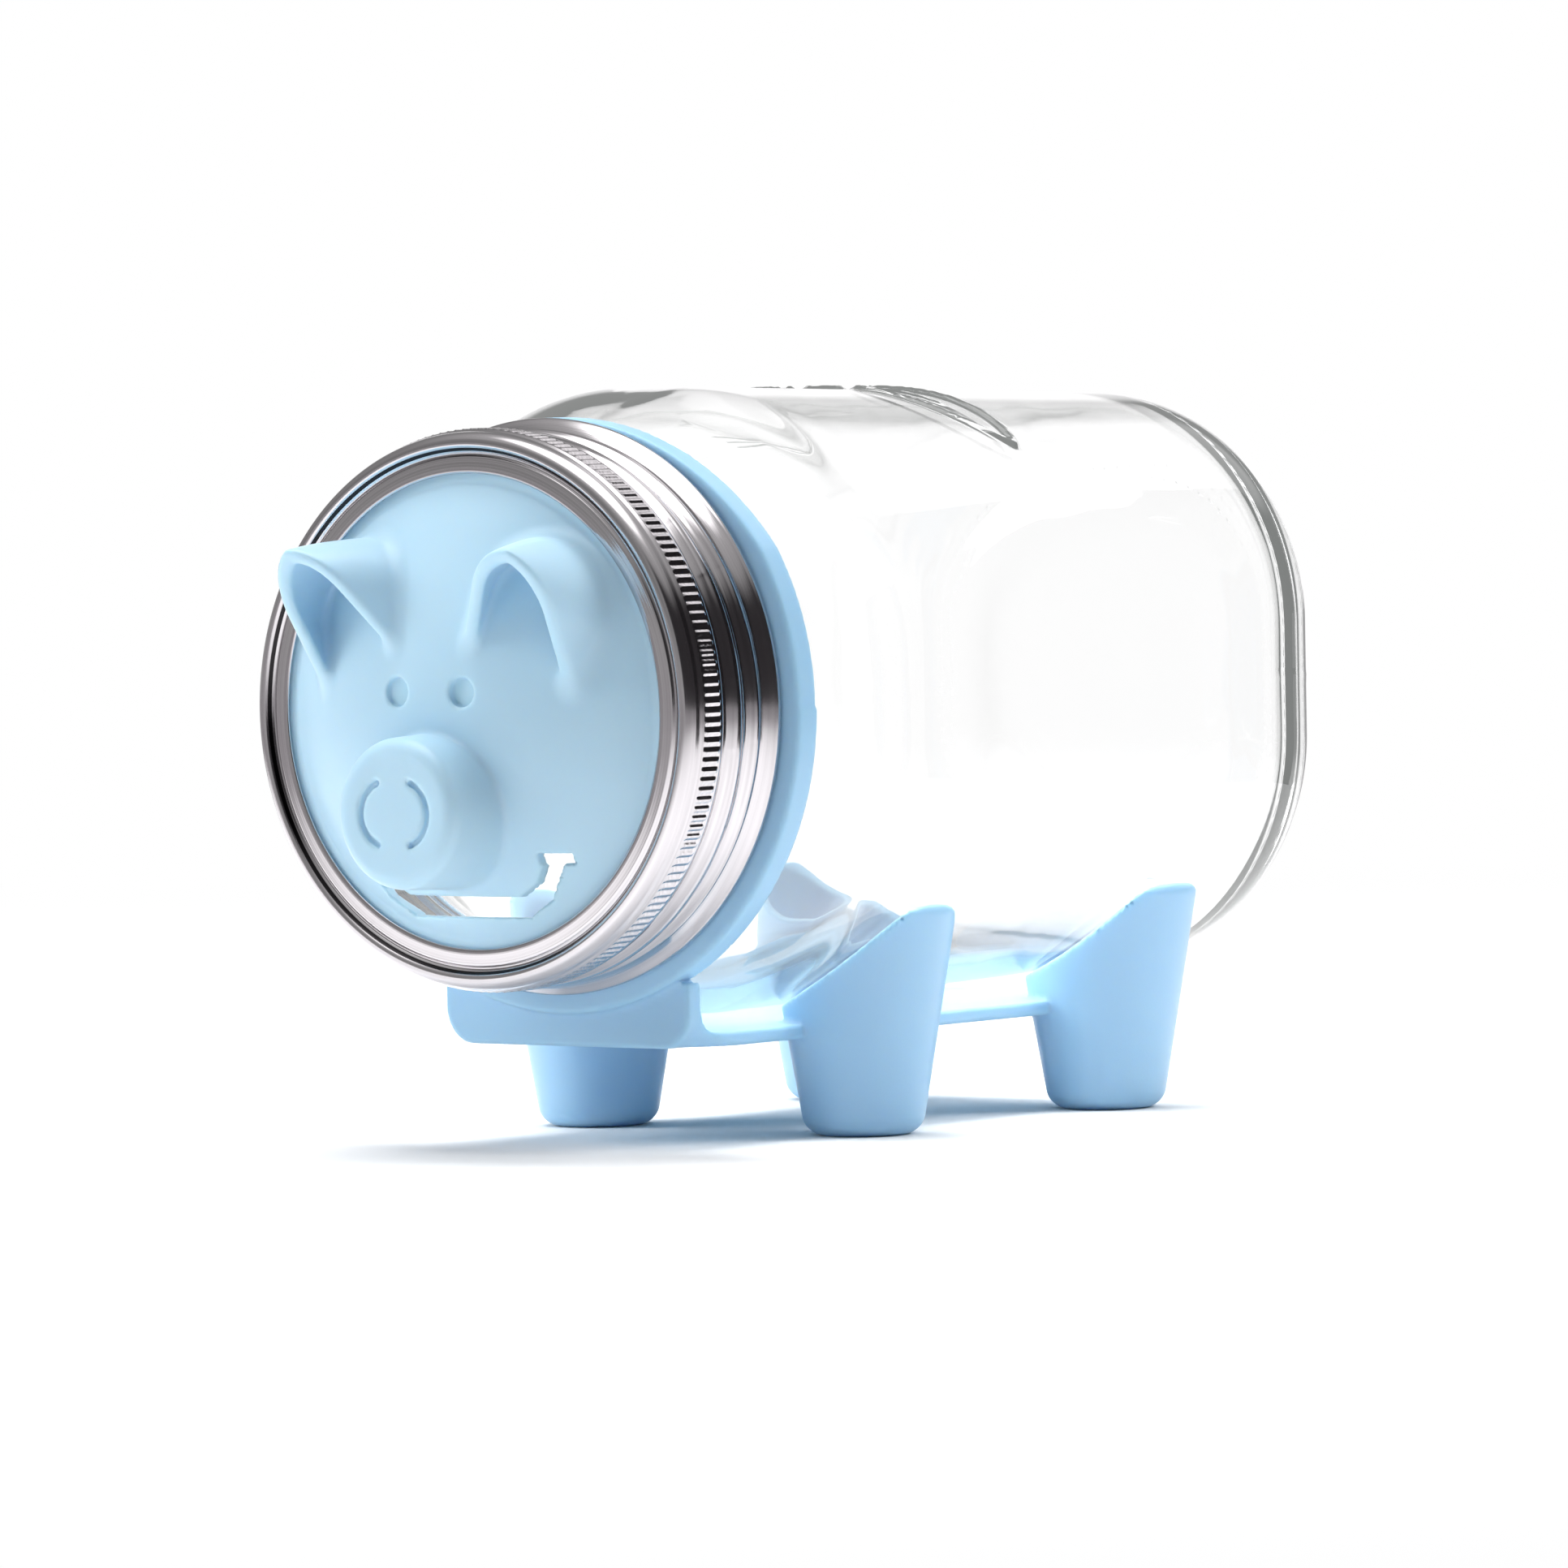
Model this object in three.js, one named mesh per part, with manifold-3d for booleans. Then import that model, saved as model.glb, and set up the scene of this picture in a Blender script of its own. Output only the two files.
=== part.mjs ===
// Coin bank jar: a wide-mouth preserving jar lying on its side in a four-legged stand,
// with a pig-face lid that carries the coin slot and is held on by a steel screw band.
//
// Every piece is drawn in the jar's own frame: +Y runs back along the jar's axis from the
// front plane of the screw band, X is across and Z is up, with zero on the jar's axis.
// The last lines move that frame so the object stands on Z = 0, centred in X and Y.

import * as THREE from 'three';
import { mergeVertices } from 'three/addons/utils/BufferGeometryUtils.js';
import Module from 'manifold-3d';

const wasm = await Module();
wasm.setup();

// ---- Driving dimensions, in millimetres --------------------------------------------

const jarLength = 172;          // mouth to base
const jarHalfWidthFront = 51;   // axis to flat just behind the shoulder
const jarHalfWidthRear = 48.4;  // axis to flat where the heel begins
const squarenessFront = 0.12;   // length of the flats over the width, behind the shoulder
const squarenessRear = 0.215;   // the same at the heel
const neckRadius = 41.3;        // glass between the threads
const neckWall = 3.3;
const shoulderLength = 23;
const heelLength = 20;
const heelDepth = 13;
const glassWall = 3;
const glassBase = 5;
const basePushUp = 2.5;

const threadPitch = 5.08;
const threadTurns = 1.5;
const jarThreadBead = 1.4;      // radius of the round glass thread
const jarThreadHeight = 1.7;    // how far it stands off the neck
const bandThreadBead = 1.3;
const bandThreadEmbed = 0.3;
const threadLead = 3.2;         // mouth plane to the start of the glass thread

const bandSheet = 0.5;
const bandRimRoll = 1.3;        // how far the rolled rear rim stands off the skirt
const bandBehindThread = 3.74;  // thread's end to the rear rim
const lipSetback = 0.6;         // flat of the lip behind the crest of its rolled edge

const flangeThickness = 1.6;
const flangeWidth = 6.3;        // flat of the flange outside the dome
const domeRise = 11.9;          // apex of the dome in front of the flange
const lidWall = 2;
const snoutRadius = 12;
const snoutDrop = 15.5;
const snoutReach = 19.5;        // snout face in front of the band
const snoutWall = 2.6;
const snoutEdge = 2.5;
const earWall = 2.2;
const slotWidth = 3.4;
const slotDrop = 31;
const eyeDiameter = 4.7;
const eyeSpacing = 13;
const eyeHeight = 3.4;

const ringWall = 5.3;
const ringTopWall = 2.2;        // the ring thins to this at its top
const ringOutlineDrop = 6.4;    // centre of the thinning arc below the jar's axis
const ringWidth = 4.8;
const plateUnderside = 16;      // above the surface that the stand rests on
const plateThickness = 2.5;
const plateHalfWidth = 25;
const plateOverhang = 8.4;      // plate behind the rear legs' centres
const frontWallSetback = 1.5;
const plateFillet = 5;
const legSpacing = 54.8;        // between leg centres, left to right
const frontLegPlace = 66.2;
const rearLegPlace = 133.6;
const footRadius = 9.5;
const legDraft = THREE.MathUtils.degToRad(9.6);
const footEdge = 3;
const legHeight = 38;
const legWall = 2.2;
const footFloor = 2.5;

// ---- Named clearances ----------------------------------------------------------------

const seatGap = 0.3;            // faces that rest on each other
const cradleGap = 0.4;          // glass to the leg tops
const neckPass = 1.2;           // stand ring over the glass thread
const threadPass = 1.6;         // band over the glass thread
const lidPass = 1.7;            // lid flange inside the band
const openingPass = 1.3;        // dome inside the band's opening
const plateGap = 1.5;           // glass over the plate

// ---- Places that follow from them ---------------------------------------------------

const mouthBore = neckRadius - neckWall;
const bandSkirt = neckRadius + jarThreadHeight + threadPass + bandSheet;
const bandRim = bandSkirt + bandRimRoll;
const flangeRadius = bandSkirt - bandSheet - lidPass;
const domeEdge = flangeRadius - flangeWidth;
const bandOpening = domeEdge + openingPass;
const lipBack = lipSetback + bandSheet;
const flangeFront = lipBack + seatGap;
const flangeBack = flangeFront + flangeThickness;
const mouthPlane = flangeBack + seatGap;
const jarBase = mouthPlane + jarLength;
const bandDepth = mouthPlane + threadLead + (threadTurns + 0.5) * threadPitch
  + bandThreadBead + bandBehindThread;
const ringFront = bandDepth + seatGap;
const ringBack = ringFront + ringWidth;
const ringBore = neckRadius + jarThreadHeight + neckPass;
const ringRadius = ringBore + ringWall;
const ringOutline = ringBore + ringTopWall + ringOutlineDrop;
const shoulderStart = ringBack + seatGap;
const shoulderEnd = shoulderStart + shoulderLength;
const heelStart = jarBase - heelLength;
const plateEnd = rearLegPlace + plateOverhang;
const axisHeight = plateUnderside + plateThickness + plateGap + jarHalfWidthFront;
const floorLevel = -axisHeight;

// ---- Solids and meshes ---------------------------------------------------------------

function solidOf(geometry) {
  const bare = geometry.index ? geometry.toNonIndexed() : geometry.clone();
  bare.deleteAttribute('normal');
  bare.deleteAttribute('uv');
  const welded = mergeVertices(bare, 1e-4);
  return new wasm.Manifold(new wasm.Mesh({
    numProp: 3,
    vertProperties: new Float32Array(welded.attributes.position.array),
    triVerts: new Uint32Array(welded.index.array),
  }));
}

function meshOf(name, solid, material) {
  const { vertProperties, triVerts } = solid.getMesh();
  const geometry = new THREE.BufferGeometry();
  geometry.setAttribute('position', new THREE.BufferAttribute(vertProperties, 3));
  geometry.setIndex(new THREE.BufferAttribute(triVerts, 1));
  geometry.computeVertexNormals();
  const mesh = new THREE.Mesh(geometry, material);
  mesh.name = name;
  return mesh;
}

// A turned solid about the jar's axis. Points are [radius, place along the axis].
function turned(points, segments) {
  return new THREE.LatheGeometry(points.map(([r, y]) => new THREE.Vector2(r, y)), segments);
}

// Points of a quarter ellipse, from one end to the other.
function quarter(count, point) {
  return Array.from({ length: count + 1 }, (_, i) => point((i / count) * Math.PI / 2));
}

// An outline in X and Z, cut or built along Y from one place to another.
function alongAxis(shape, from, to, curveSegments = 8) {
  const geometry = new THREE.ExtrudeGeometry(shape, {
    depth: to - from, bevelEnabled: false, curveSegments,
  });
  return geometry.rotateX(Math.PI / 2).translate(0, to, 0);
}

// A helix about the jar's axis, right-handed going back, whose radius runs out at both ends.
class ThreadLine extends THREE.Curve {
  constructor({ radius, start, runOut }) {
    super();
    Object.assign(this, { radius, start, runOut });
  }

  getPoint(t, target = new THREE.Vector3()) {
    const angle = t * threadTurns * 2 * Math.PI;
    const fade = 1 - THREE.MathUtils.smoothstep(Math.min(t, 1 - t), 0, 0.08);
    const r = this.radius + this.runOut * fade;
    const y = this.start + t * threadTurns * threadPitch;
    return target.set(r * Math.sin(angle), y, r * Math.cos(angle));
  }
}

function threadBead(line, beadRadius) {
  const section = new THREE.Shape().absarc(0, 0, beadRadius, 0, 2 * Math.PI);
  return solidOf(new THREE.ExtrudeGeometry(section, {
    steps: 54, curveSegments: 4, bevelEnabled: false, extrudePath: line,
  }));
}

// ---- Glass jar -----------------------------------------------------------------------

// Share of the half width that is flat, along the body: none at the neck.
function squareness(y) {
  if (y <= shoulderStart) return 0;
  const rise = THREE.MathUtils.smoothstep(y, shoulderStart, shoulderEnd);
  const along = THREE.MathUtils.clamp((y - shoulderEnd) / (heelStart - shoulderEnd), 0, 1);
  return rise * THREE.MathUtils.lerp(squarenessFront, squarenessRear, along);
}

// Distance from the axis to a rounded square of half width 1, in the direction of x and z.
function roundedSquare(x, z, q) {
  const length = Math.hypot(x, z);
  const high = Math.max(Math.abs(x), Math.abs(z)) / length;
  const low = Math.min(Math.abs(x), Math.abs(z)) / length;
  if (low <= q * high) return 1 / high;
  return q * (high + low) + Math.sqrt((1 - q) ** 2 - q * q * (1 - 2 * high * low));
}

// Presses a turned solid to the jar's rounded-square section.
function pressSquare(geometry) {
  const position = geometry.attributes.position;
  for (let i = 0; i < position.count; i += 1) {
    const x = position.getX(i);
    const z = position.getZ(i);
    if (Math.hypot(x, z) < 1e-6) continue;
    const stretch = roundedSquare(x, z, squareness(position.getY(i)));
    position.setX(i, x * stretch);
    position.setZ(i, z * stretch);
  }
  return geometry;
}

// Outside of the glass from behind the band to the middle of the base.
function jarOutline(grow) {
  const neckEnd = ringBore - 2 * seatGap;
  const shoulder = quarter(5, (a) => [
    neckEnd + (jarHalfWidthFront - neckEnd) * Math.sin(a) + grow,
    shoulderStart + shoulderLength * a / (Math.PI / 2),
  ]);
  const heel = quarter(6, (a) => [
    jarHalfWidthRear - heelDepth * (1 - Math.cos(a)) + grow,
    heelStart + heelLength * Math.sin(a) + grow,
  ]);
  return [...shoulder, [(jarHalfWidthFront + jarHalfWidthRear) / 2 + grow,
    (shoulderEnd + heelStart) / 2], ...heel];
}

function makeJar() {
  const segments = 40;
  const outline = jarOutline(0);
  const inner = outline.slice(0, 7).map(([r, y]) => [r - glassWall, y]).reverse();
  const innerHeel = quarter(4, (a) => [
    jarHalfWidthRear - glassWall - (heelDepth - glassWall / 2) * (1 - Math.sin(a)),
    jarBase - glassBase - (heelLength - glassWall) * (1 - Math.cos(a)),
  ]);
  const rimRound = (neckRadius - mouthBore) / 2;
  const rim = quarter(2, (a) => [mouthBore + rimRound * (1 - Math.cos(a)),
    mouthPlane + rimRound * (1 - Math.sin(a))]);
  const rimOut = quarter(2, (a) => [neckRadius - rimRound * (1 - Math.sin(a)),
    mouthPlane + rimRound * (1 - Math.cos(a))]).slice(1);
  const bead = [[neckRadius, bandDepth - 3.4], [neckRadius + 1, bandDepth - 2.8],
    [neckRadius + 1, bandDepth - 1.8], [neckRadius, bandDepth - 1.2]];
  const foot = jarHalfWidthRear - heelDepth;
  const profile = [
    [0, jarBase - glassBase - basePushUp],
    [foot * 0.7, jarBase - glassBase - basePushUp * 0.7],
    ...innerHeel, ...inner,
    [mouthBore, shoulderStart - 3],
    ...rim, ...rimOut, ...bead, [neckRadius, ringFront - 0.5],
    ...outline,
    [foot - 3, jarBase], [foot - 6, jarBase - basePushUp * 0.6],
    [0, jarBase - basePushUp],
  ];
  const thread = threadBead(new ThreadLine({
    radius: neckRadius + jarThreadHeight - jarThreadBead,
    start: mouthPlane + threadLead,
    runOut: -jarThreadHeight - 0.05,
  }), jarThreadBead);
  return solidOf(pressSquare(turned(profile, segments))).add(thread);
}

// The room that the glass takes up, with a clearance all round.
function jarRoom(clearance) {
  const profile = [[0, shoulderStart - 1], [neckRadius, shoulderStart - 1],
    ...jarOutline(clearance), [0, jarBase + clearance]];
  return solidOf(pressSquare(turned(profile, 56)));
}

// ---- Screw band ----------------------------------------------------------------------

function makeBand() {
  const crest = bandSkirt - 2.5;
  const shoulder = bandSkirt - 0.6;
  const shoulderDepth = 2.4;
  const groove = crest - 1.5;
  const outside = [
    [bandOpening, lipSetback + bandSheet / 2], [bandOpening + 0.3, lipSetback],
    [groove, lipSetback],
    ...quarter(3, (a) => [crest + (shoulder - crest) * Math.sin(a),
      shoulderDepth * (1 - Math.cos(a))]),
    [bandSkirt - 0.2, shoulderDepth + 1], [bandSkirt, 8], [bandSkirt, bandDepth - 3.2],
    [bandRim - 0.3, bandDepth - 1.5], [bandRim, bandDepth - 0.9],
    [bandRim - 0.3, bandDepth],
  ];
  const inside = [
    [bandRim - 2 * bandSheet, bandDepth], [bandRim - 2.2 * bandSheet, bandDepth - 1.4],
    [bandSkirt - bandSheet, bandDepth - 3], [bandSkirt - bandSheet, 8],
    [bandSkirt - 0.2 - bandSheet, shoulderDepth + 1],
    ...quarter(3, (a) => [shoulder - bandSheet - (shoulder - crest) * (1 - Math.cos(a)),
      shoulderDepth - (shoulderDepth - bandSheet) * Math.sin(a)]),
    [groove, lipBack], [bandOpening + 0.3, lipBack],
  ];
  const sheet = solidOf(turned([...outside, ...inside, outside[0]], 48));
  const thread = threadBead(new ThreadLine({
    radius: bandSkirt - bandSheet + bandThreadEmbed - bandThreadBead,
    start: mouthPlane + threadLead + threadPitch / 2,
    runOut: 0,
  }), bandThreadBead);
  return sheet.add(thread);
}

// ---- Pig-face lid --------------------------------------------------------------------

const domeRadius = (domeEdge ** 2 + domeRise ** 2) / (2 * domeRise);
const domeApex = flangeFront - domeRise;

// Place along the axis of a dome concentric with the face, sunk by an amount below it.
function domeAt(r, sunk) {
  return domeApex + domeRadius - Math.sqrt((domeRadius - sunk) ** 2 - r * r);
}

function dome(sunk, edge) {
  const steps = 7;
  return Array.from({ length: steps + 1 }, (_, i) => [edge * i / steps,
    domeAt(edge * i / steps, sunk)]);
}

// A horn that leans as it narrows along Y, with an arch for its section: round above and
// straight-sided below. It grows a little taller towards its front.
function horn({ rear, front, wall, lean }) {
  const armLength = 1.35;
  const tipStretch = 0.28;
  const long = rear.y - front.y;
  const geometry = new THREE.CylinderGeometry(1, 1, long, 28);
  geometry.translate(0, (rear.y + front.y) / 2, 0);
  const position = geometry.attributes.position;
  for (let i = 0; i < position.count; i += 1) {
    const t = (rear.y - position.getY(i)) / long;
    const radius = THREE.MathUtils.lerp(rear.r, front.r, t) - wall;
    let across = position.getX(i);
    let along = position.getZ(i);
    if (along > 0) {
      along *= 1 + tipStretch * t;
    } else if (Math.hypot(across, along) > 0.5) {
      const square = Math.max(Math.abs(across), Math.abs(along));
      across /= square;
      along *= armLength / square;
    }
    position.setX(i, THREE.MathUtils.lerp(rear.x, front.x, t)
      + radius * (across * Math.cos(lean) + along * Math.sin(lean)));
    position.setZ(i, THREE.MathUtils.lerp(rear.z, front.z, t)
      + radius * (along * Math.cos(lean) - across * Math.sin(lean)));
  }
  return solidOf(geometry);
}

// A cupped ear, open towards the front and below. Side is +1 or -1.
function ear(side) {
  const rear = { x: 16.8 * side, z: 14.5, y: -0.5, r: 13.4 };
  const front = { x: 20.6 * side, z: 19.4, y: -19, r: 5.4 };
  const lean = side * THREE.MathUtils.degToRad(17.5);
  const cutTilt = THREE.MathUtils.degToRad(30);
  const block = new THREE.BoxGeometry(80, 40, 80).translate(0, -20, 0);
  block.rotateX(cutTilt).translate(0, -9.4, 11);
  return horn({ rear, front, wall: 0, lean })
    .subtract(horn({ rear, front, wall: earWall, lean }))
    .subtract(solidOf(block));
}

// The coin slot: a flat-bottomed smile with a short bar across each end.
function smileOutline() {
  const half = slotWidth / 2;
  const turn = { x: 12, z: -slotDrop };
  const end = { x: 19, z: -slotDrop + 8 };
  const lean = Math.atan2(end.z - turn.z, end.x - turn.x);
  const off = { x: half * 0.9 * Math.sin(lean), z: half * 0.9 * Math.cos(lean) };
  const bar = { x: 2.8, z: 0.8 };
  const right = [
    [turn.x + 0.4, turn.z - half], [turn.x + off.x + 0.6, turn.z - off.z + 0.5],
    [end.x + off.x, end.z - off.z], [end.x + bar.x, end.z - bar.z],
    [end.x + bar.x, end.z + bar.z], [end.x - bar.x, end.z + bar.z],
    [end.x - bar.x, end.z - bar.z + 0.3], [end.x - off.x - 0.5, end.z - bar.z + 0.3],
    [turn.x - off.x, turn.z + off.z + 0.2], [turn.x - 2.4, turn.z + half],
  ];
  const left = right.map(([x, z]) => [-x, z]).reverse();
  return new THREE.Shape([...right, ...left].map(([x, z]) => new THREE.Vector2(x, z)));
}

function nostrilOutline(side) {
  const offset = side * 1.5;
  const radius = 5.2;
  const half = 0.45;
  const spread = THREE.MathUtils.degToRad(70);
  const middle = side > 0 ? 0 : Math.PI;
  return new THREE.Shape()
    .absarc(offset, -snoutDrop, radius + half, middle - spread, middle + spread, false)
    .absarc(offset, -snoutDrop, radius - half, middle + spread, middle - spread, true);
}

function makeLid() {
  const segments = 44;
  const back = flangeBack;
  const face = solidOf(turned([...dome(0, domeEdge), [flangeRadius - 0.3, flangeFront],
    [flangeRadius, flangeFront + 0.3], [flangeRadius, back - 0.3],
    [flangeRadius - 0.3, back], [0, back]], segments));
  const hollowEdge = domeEdge - 2.2;
  const hollow = solidOf(turned([...dome(lidWall, hollowEdge), [hollowEdge, back + 1],
    [0, back + 1]], segments));
  const snoutFace = -snoutReach;
  const snout = solidOf(turned([[0, snoutFace],
    ...quarter(3, (a) => [snoutRadius - snoutEdge * (1 - Math.sin(a)),
      snoutFace + snoutEdge * (1 - Math.cos(a))]),
    [snoutRadius + 0.8, -1], [0, -1]], 32).translate(0, 0, -snoutDrop));
  const snoutHollow = solidOf(turned([[0, snoutFace + snoutWall],
    [snoutRadius - snoutWall - 0.5, snoutFace + snoutWall],
    [snoutRadius - snoutWall, snoutFace + snoutWall + 0.5],
    [snoutRadius - snoutWall, back + 1], [0, back + 1]], 24).translate(0, 0, -snoutDrop));
  let lid = face.add(snout).add(ear(1)).add(ear(-1))
    .subtract(hollow).subtract(snoutHollow)
    .subtract(solidOf(alongAxis(smileOutline(), domeApex - 2, back + 2)));
  for (const side of [1, -1]) {
    const eye = new THREE.Shape().absarc(side * eyeSpacing / 2, eyeHeight, eyeDiameter / 2,
      0, 2 * Math.PI);
    const eyeFace = domeAt(Math.hypot(eyeSpacing / 2, eyeHeight), 0);
    lid = lid.subtract(solidOf(alongAxis(eye, eyeFace - 3, eyeFace + 1, 10)))
      .subtract(solidOf(alongAxis(nostrilOutline(side), snoutFace - 1, snoutFace + 1, 6)));
  }
  return lid;
}

// ---- Stand ---------------------------------------------------------------------------

// A leg's outside or hollow, standing along Z. Points are [radius, height over the floor].
function legTurned(points, x, y) {
  const geometry = turned(points, 24);
  return solidOf(geometry.rotateX(Math.PI / 2).translate(x, y, floorLevel));
}

function legRadius(height) {
  return footRadius + height * Math.tan(legDraft);
}

function leg(x, y) {
  const edge = quarter(3, (a) => [legRadius(footEdge) - footEdge * (1 - Math.sin(a)),
    footEdge * (1 - Math.cos(a))]);
  return legTurned([[0, 0], ...edge, [legRadius(legHeight), legHeight], [0, legHeight]],
    x, y);
}

function legHollow(x, y) {
  const over = legHeight + 1;
  return legTurned([[0, footFloor], [legRadius(footFloor) - legWall - 1, footFloor],
    [legRadius(footFloor + 1) - legWall, footFloor + 1],
    [legRadius(over) - legWall, over], [0, over]], x, y);
}

function makeStand() {
  const thinning = new THREE.CylinderGeometry(ringOutline, ringOutline, 2 * ringWidth, 60);
  const ring = solidOf(turned([[ringBore, ringFront], [ringRadius - 0.4, ringFront],
    [ringRadius, ringFront + 0.4], [ringRadius, ringBack - 0.4],
    [ringRadius - 0.4, ringBack], [ringBore, ringBack], [ringBore, ringFront]], 52))
    .intersect(solidOf(thinning.translate(0, (ringFront + ringBack) / 2, -ringOutlineDrop)));
  const top = floorLevel + plateUnderside + plateThickness;
  const under = floorLevel + plateUnderside;
  const wallFront = ringFront + frontWallSetback;
  const wallTop = -ringBore - 1.5;
  // Side view of the front wall and the plate, with Y across the drawing and Z up it.
  const side = new THREE.Shape()
    .moveTo(wallFront, under)
    .lineTo(plateEnd, under)
    .lineTo(plateEnd, top)
    .lineTo(ringBack + plateFillet, top)
    .absarc(ringBack + plateFillet, top + plateFillet, plateFillet, 1.5 * Math.PI,
      Math.PI, true)
    .lineTo(ringBack, wallTop)
    .lineTo(wallFront, wallTop);
  const bed = new THREE.ExtrudeGeometry(side, {
    depth: 2 * plateHalfWidth, bevelEnabled: false, curveSegments: 5,
  });
  // The drawing's two axes and its depth become Y, Z and X.
  bed.applyMatrix4(new THREE.Matrix4().makeBasis(new THREE.Vector3(0, 1, 0),
    new THREE.Vector3(0, 0, 1), new THREE.Vector3(1, 0, 0)));
  bed.translate(-plateHalfWidth, 0, 0);
  const neckRoom = solidOf(turned([[0, wallFront - 3], [ringBore, wallFront - 3],
    [ringBore, ringBack + 1], [0, ringBack + 1]], 52));
  let stand = ring.add(solidOf(bed).subtract(neckRoom));
  const places = [1, -1].flatMap((s) => [frontLegPlace, rearLegPlace]
    .map((y) => [s * legSpacing / 2, y]));
  for (const [x, y] of places) stand = stand.add(leg(x, y));
  for (const [x, y] of places) stand = stand.subtract(legHollow(x, y));
  return stand.subtract(jarRoom(cradleGap));
}

// ---- Materials and assembly ----------------------------------------------------------

const glass = new THREE.MeshStandardMaterial({
  color: 0xeef4f6, roughness: 0.05, metalness: 0, transparent: true, opacity: 0.35,
});
const steel = new THREE.MeshStandardMaterial({ color: 0xc9c6c8, roughness: 0.2, metalness: 1 });
const facePlastic = new THREE.MeshStandardMaterial({ color: 0xa9d0e8, roughness: 0.4 });
const standPlastic = new THREE.MeshStandardMaterial({ color: 0x9ecaec, roughness: 0.4 });

const coinBankJar = new THREE.Group();
coinBankJar.add(
  meshOf('glass_jar', makeJar(), glass),
  meshOf('screw_band', makeBand(), steel),
  meshOf('pig_face_lid', makeLid(), facePlastic),
  meshOf('stand', makeStand(), standPlastic),
);
coinBankJar.position.set(0, (snoutReach - jarBase) / 2, axisHeight);

export default coinBankJar;
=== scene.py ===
# Coin bank jar: a clear preserving jar lying in a light-blue moulded stand, closed by a
# pig-face lid with a coin slot that a tinned screw band clamps on the mouth.

import math

import bpy
import numpy as np
from mathutils import Matrix, Vector


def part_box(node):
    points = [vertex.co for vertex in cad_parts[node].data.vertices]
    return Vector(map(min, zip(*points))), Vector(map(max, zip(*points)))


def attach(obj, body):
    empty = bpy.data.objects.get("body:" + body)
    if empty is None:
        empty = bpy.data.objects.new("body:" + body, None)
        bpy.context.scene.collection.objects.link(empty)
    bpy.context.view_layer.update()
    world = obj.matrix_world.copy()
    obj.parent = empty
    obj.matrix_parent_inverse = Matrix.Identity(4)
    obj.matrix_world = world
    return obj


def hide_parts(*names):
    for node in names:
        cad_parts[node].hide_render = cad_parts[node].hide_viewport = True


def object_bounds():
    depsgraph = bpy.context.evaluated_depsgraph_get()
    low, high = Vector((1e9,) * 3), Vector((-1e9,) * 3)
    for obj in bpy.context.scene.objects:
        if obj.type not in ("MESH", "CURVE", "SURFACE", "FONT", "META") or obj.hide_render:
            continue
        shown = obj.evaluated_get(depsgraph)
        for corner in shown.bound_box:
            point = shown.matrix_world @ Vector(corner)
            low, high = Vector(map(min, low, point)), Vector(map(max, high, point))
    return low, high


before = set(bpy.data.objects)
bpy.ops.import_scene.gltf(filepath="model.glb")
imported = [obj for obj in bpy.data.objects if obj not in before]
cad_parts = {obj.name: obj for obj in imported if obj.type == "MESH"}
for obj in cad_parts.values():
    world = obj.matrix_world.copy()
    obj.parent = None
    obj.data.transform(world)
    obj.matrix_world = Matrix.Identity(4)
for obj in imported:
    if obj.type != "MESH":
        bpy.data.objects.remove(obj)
cad_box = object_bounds()

# ---- Studio --------------------------------------------------------------------------
# A long lens a little above the table looks at the pig's face from its left. The jar
# stands on a pale round table top that fades into a white room, under three softboxes,
# with a black flag beside it for the steel and the glass to mirror.

scene = bpy.context.scene
scene.view_settings.view_transform = "Standard"
box_middle = (cad_box[0] + cad_box[1]) / 2


def add_camera():
    azimuth, elevation, roll = math.radians(37.42), math.radians(2.26), math.radians(-1.014)
    distance = 1.87
    aim = box_middle + Vector((0.0014, 0.0025, -0.0049))
    back = Vector((math.sin(azimuth) * math.cos(elevation),
                   -math.cos(azimuth) * math.cos(elevation), math.sin(elevation)))
    right = Vector((0, 0, 1)).cross(back).normalized()
    up = back.cross(right)
    turned_right = right * math.cos(roll) + up * math.sin(roll)
    turned_up = up * math.cos(roll) - right * math.sin(roll)
    data = bpy.data.cameras.new("camera")
    data.lens = 260.6
    data.sensor_width = 36
    data.clip_start = 0.05
    camera = bpy.data.objects.new("camera", data)
    axes = Matrix((turned_right, turned_up, back)).transposed()
    camera.matrix_world = Matrix.Translation(aim + back * distance) @ axes.to_4x4()
    scene.collection.objects.link(camera)
    scene.camera = camera


def add_node(tree, kind, sockets, **settings):
    """A shader node with its settings. Each socket takes a value or another node's output."""
    made = tree.nodes.new("ShaderNode" + kind)
    for name, value in settings.items():
        setattr(made, name, value)
    for name, value in sockets.items():
        if isinstance(value, bpy.types.NodeSocket):
            tree.links.new(value, made.inputs[name])
        else:
            made.inputs[name].default_value = value
    return made


def new_material(name):
    material = bpy.data.materials.new(name)
    material.use_nodes = True
    material.node_tree.nodes.clear()
    return material


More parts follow.
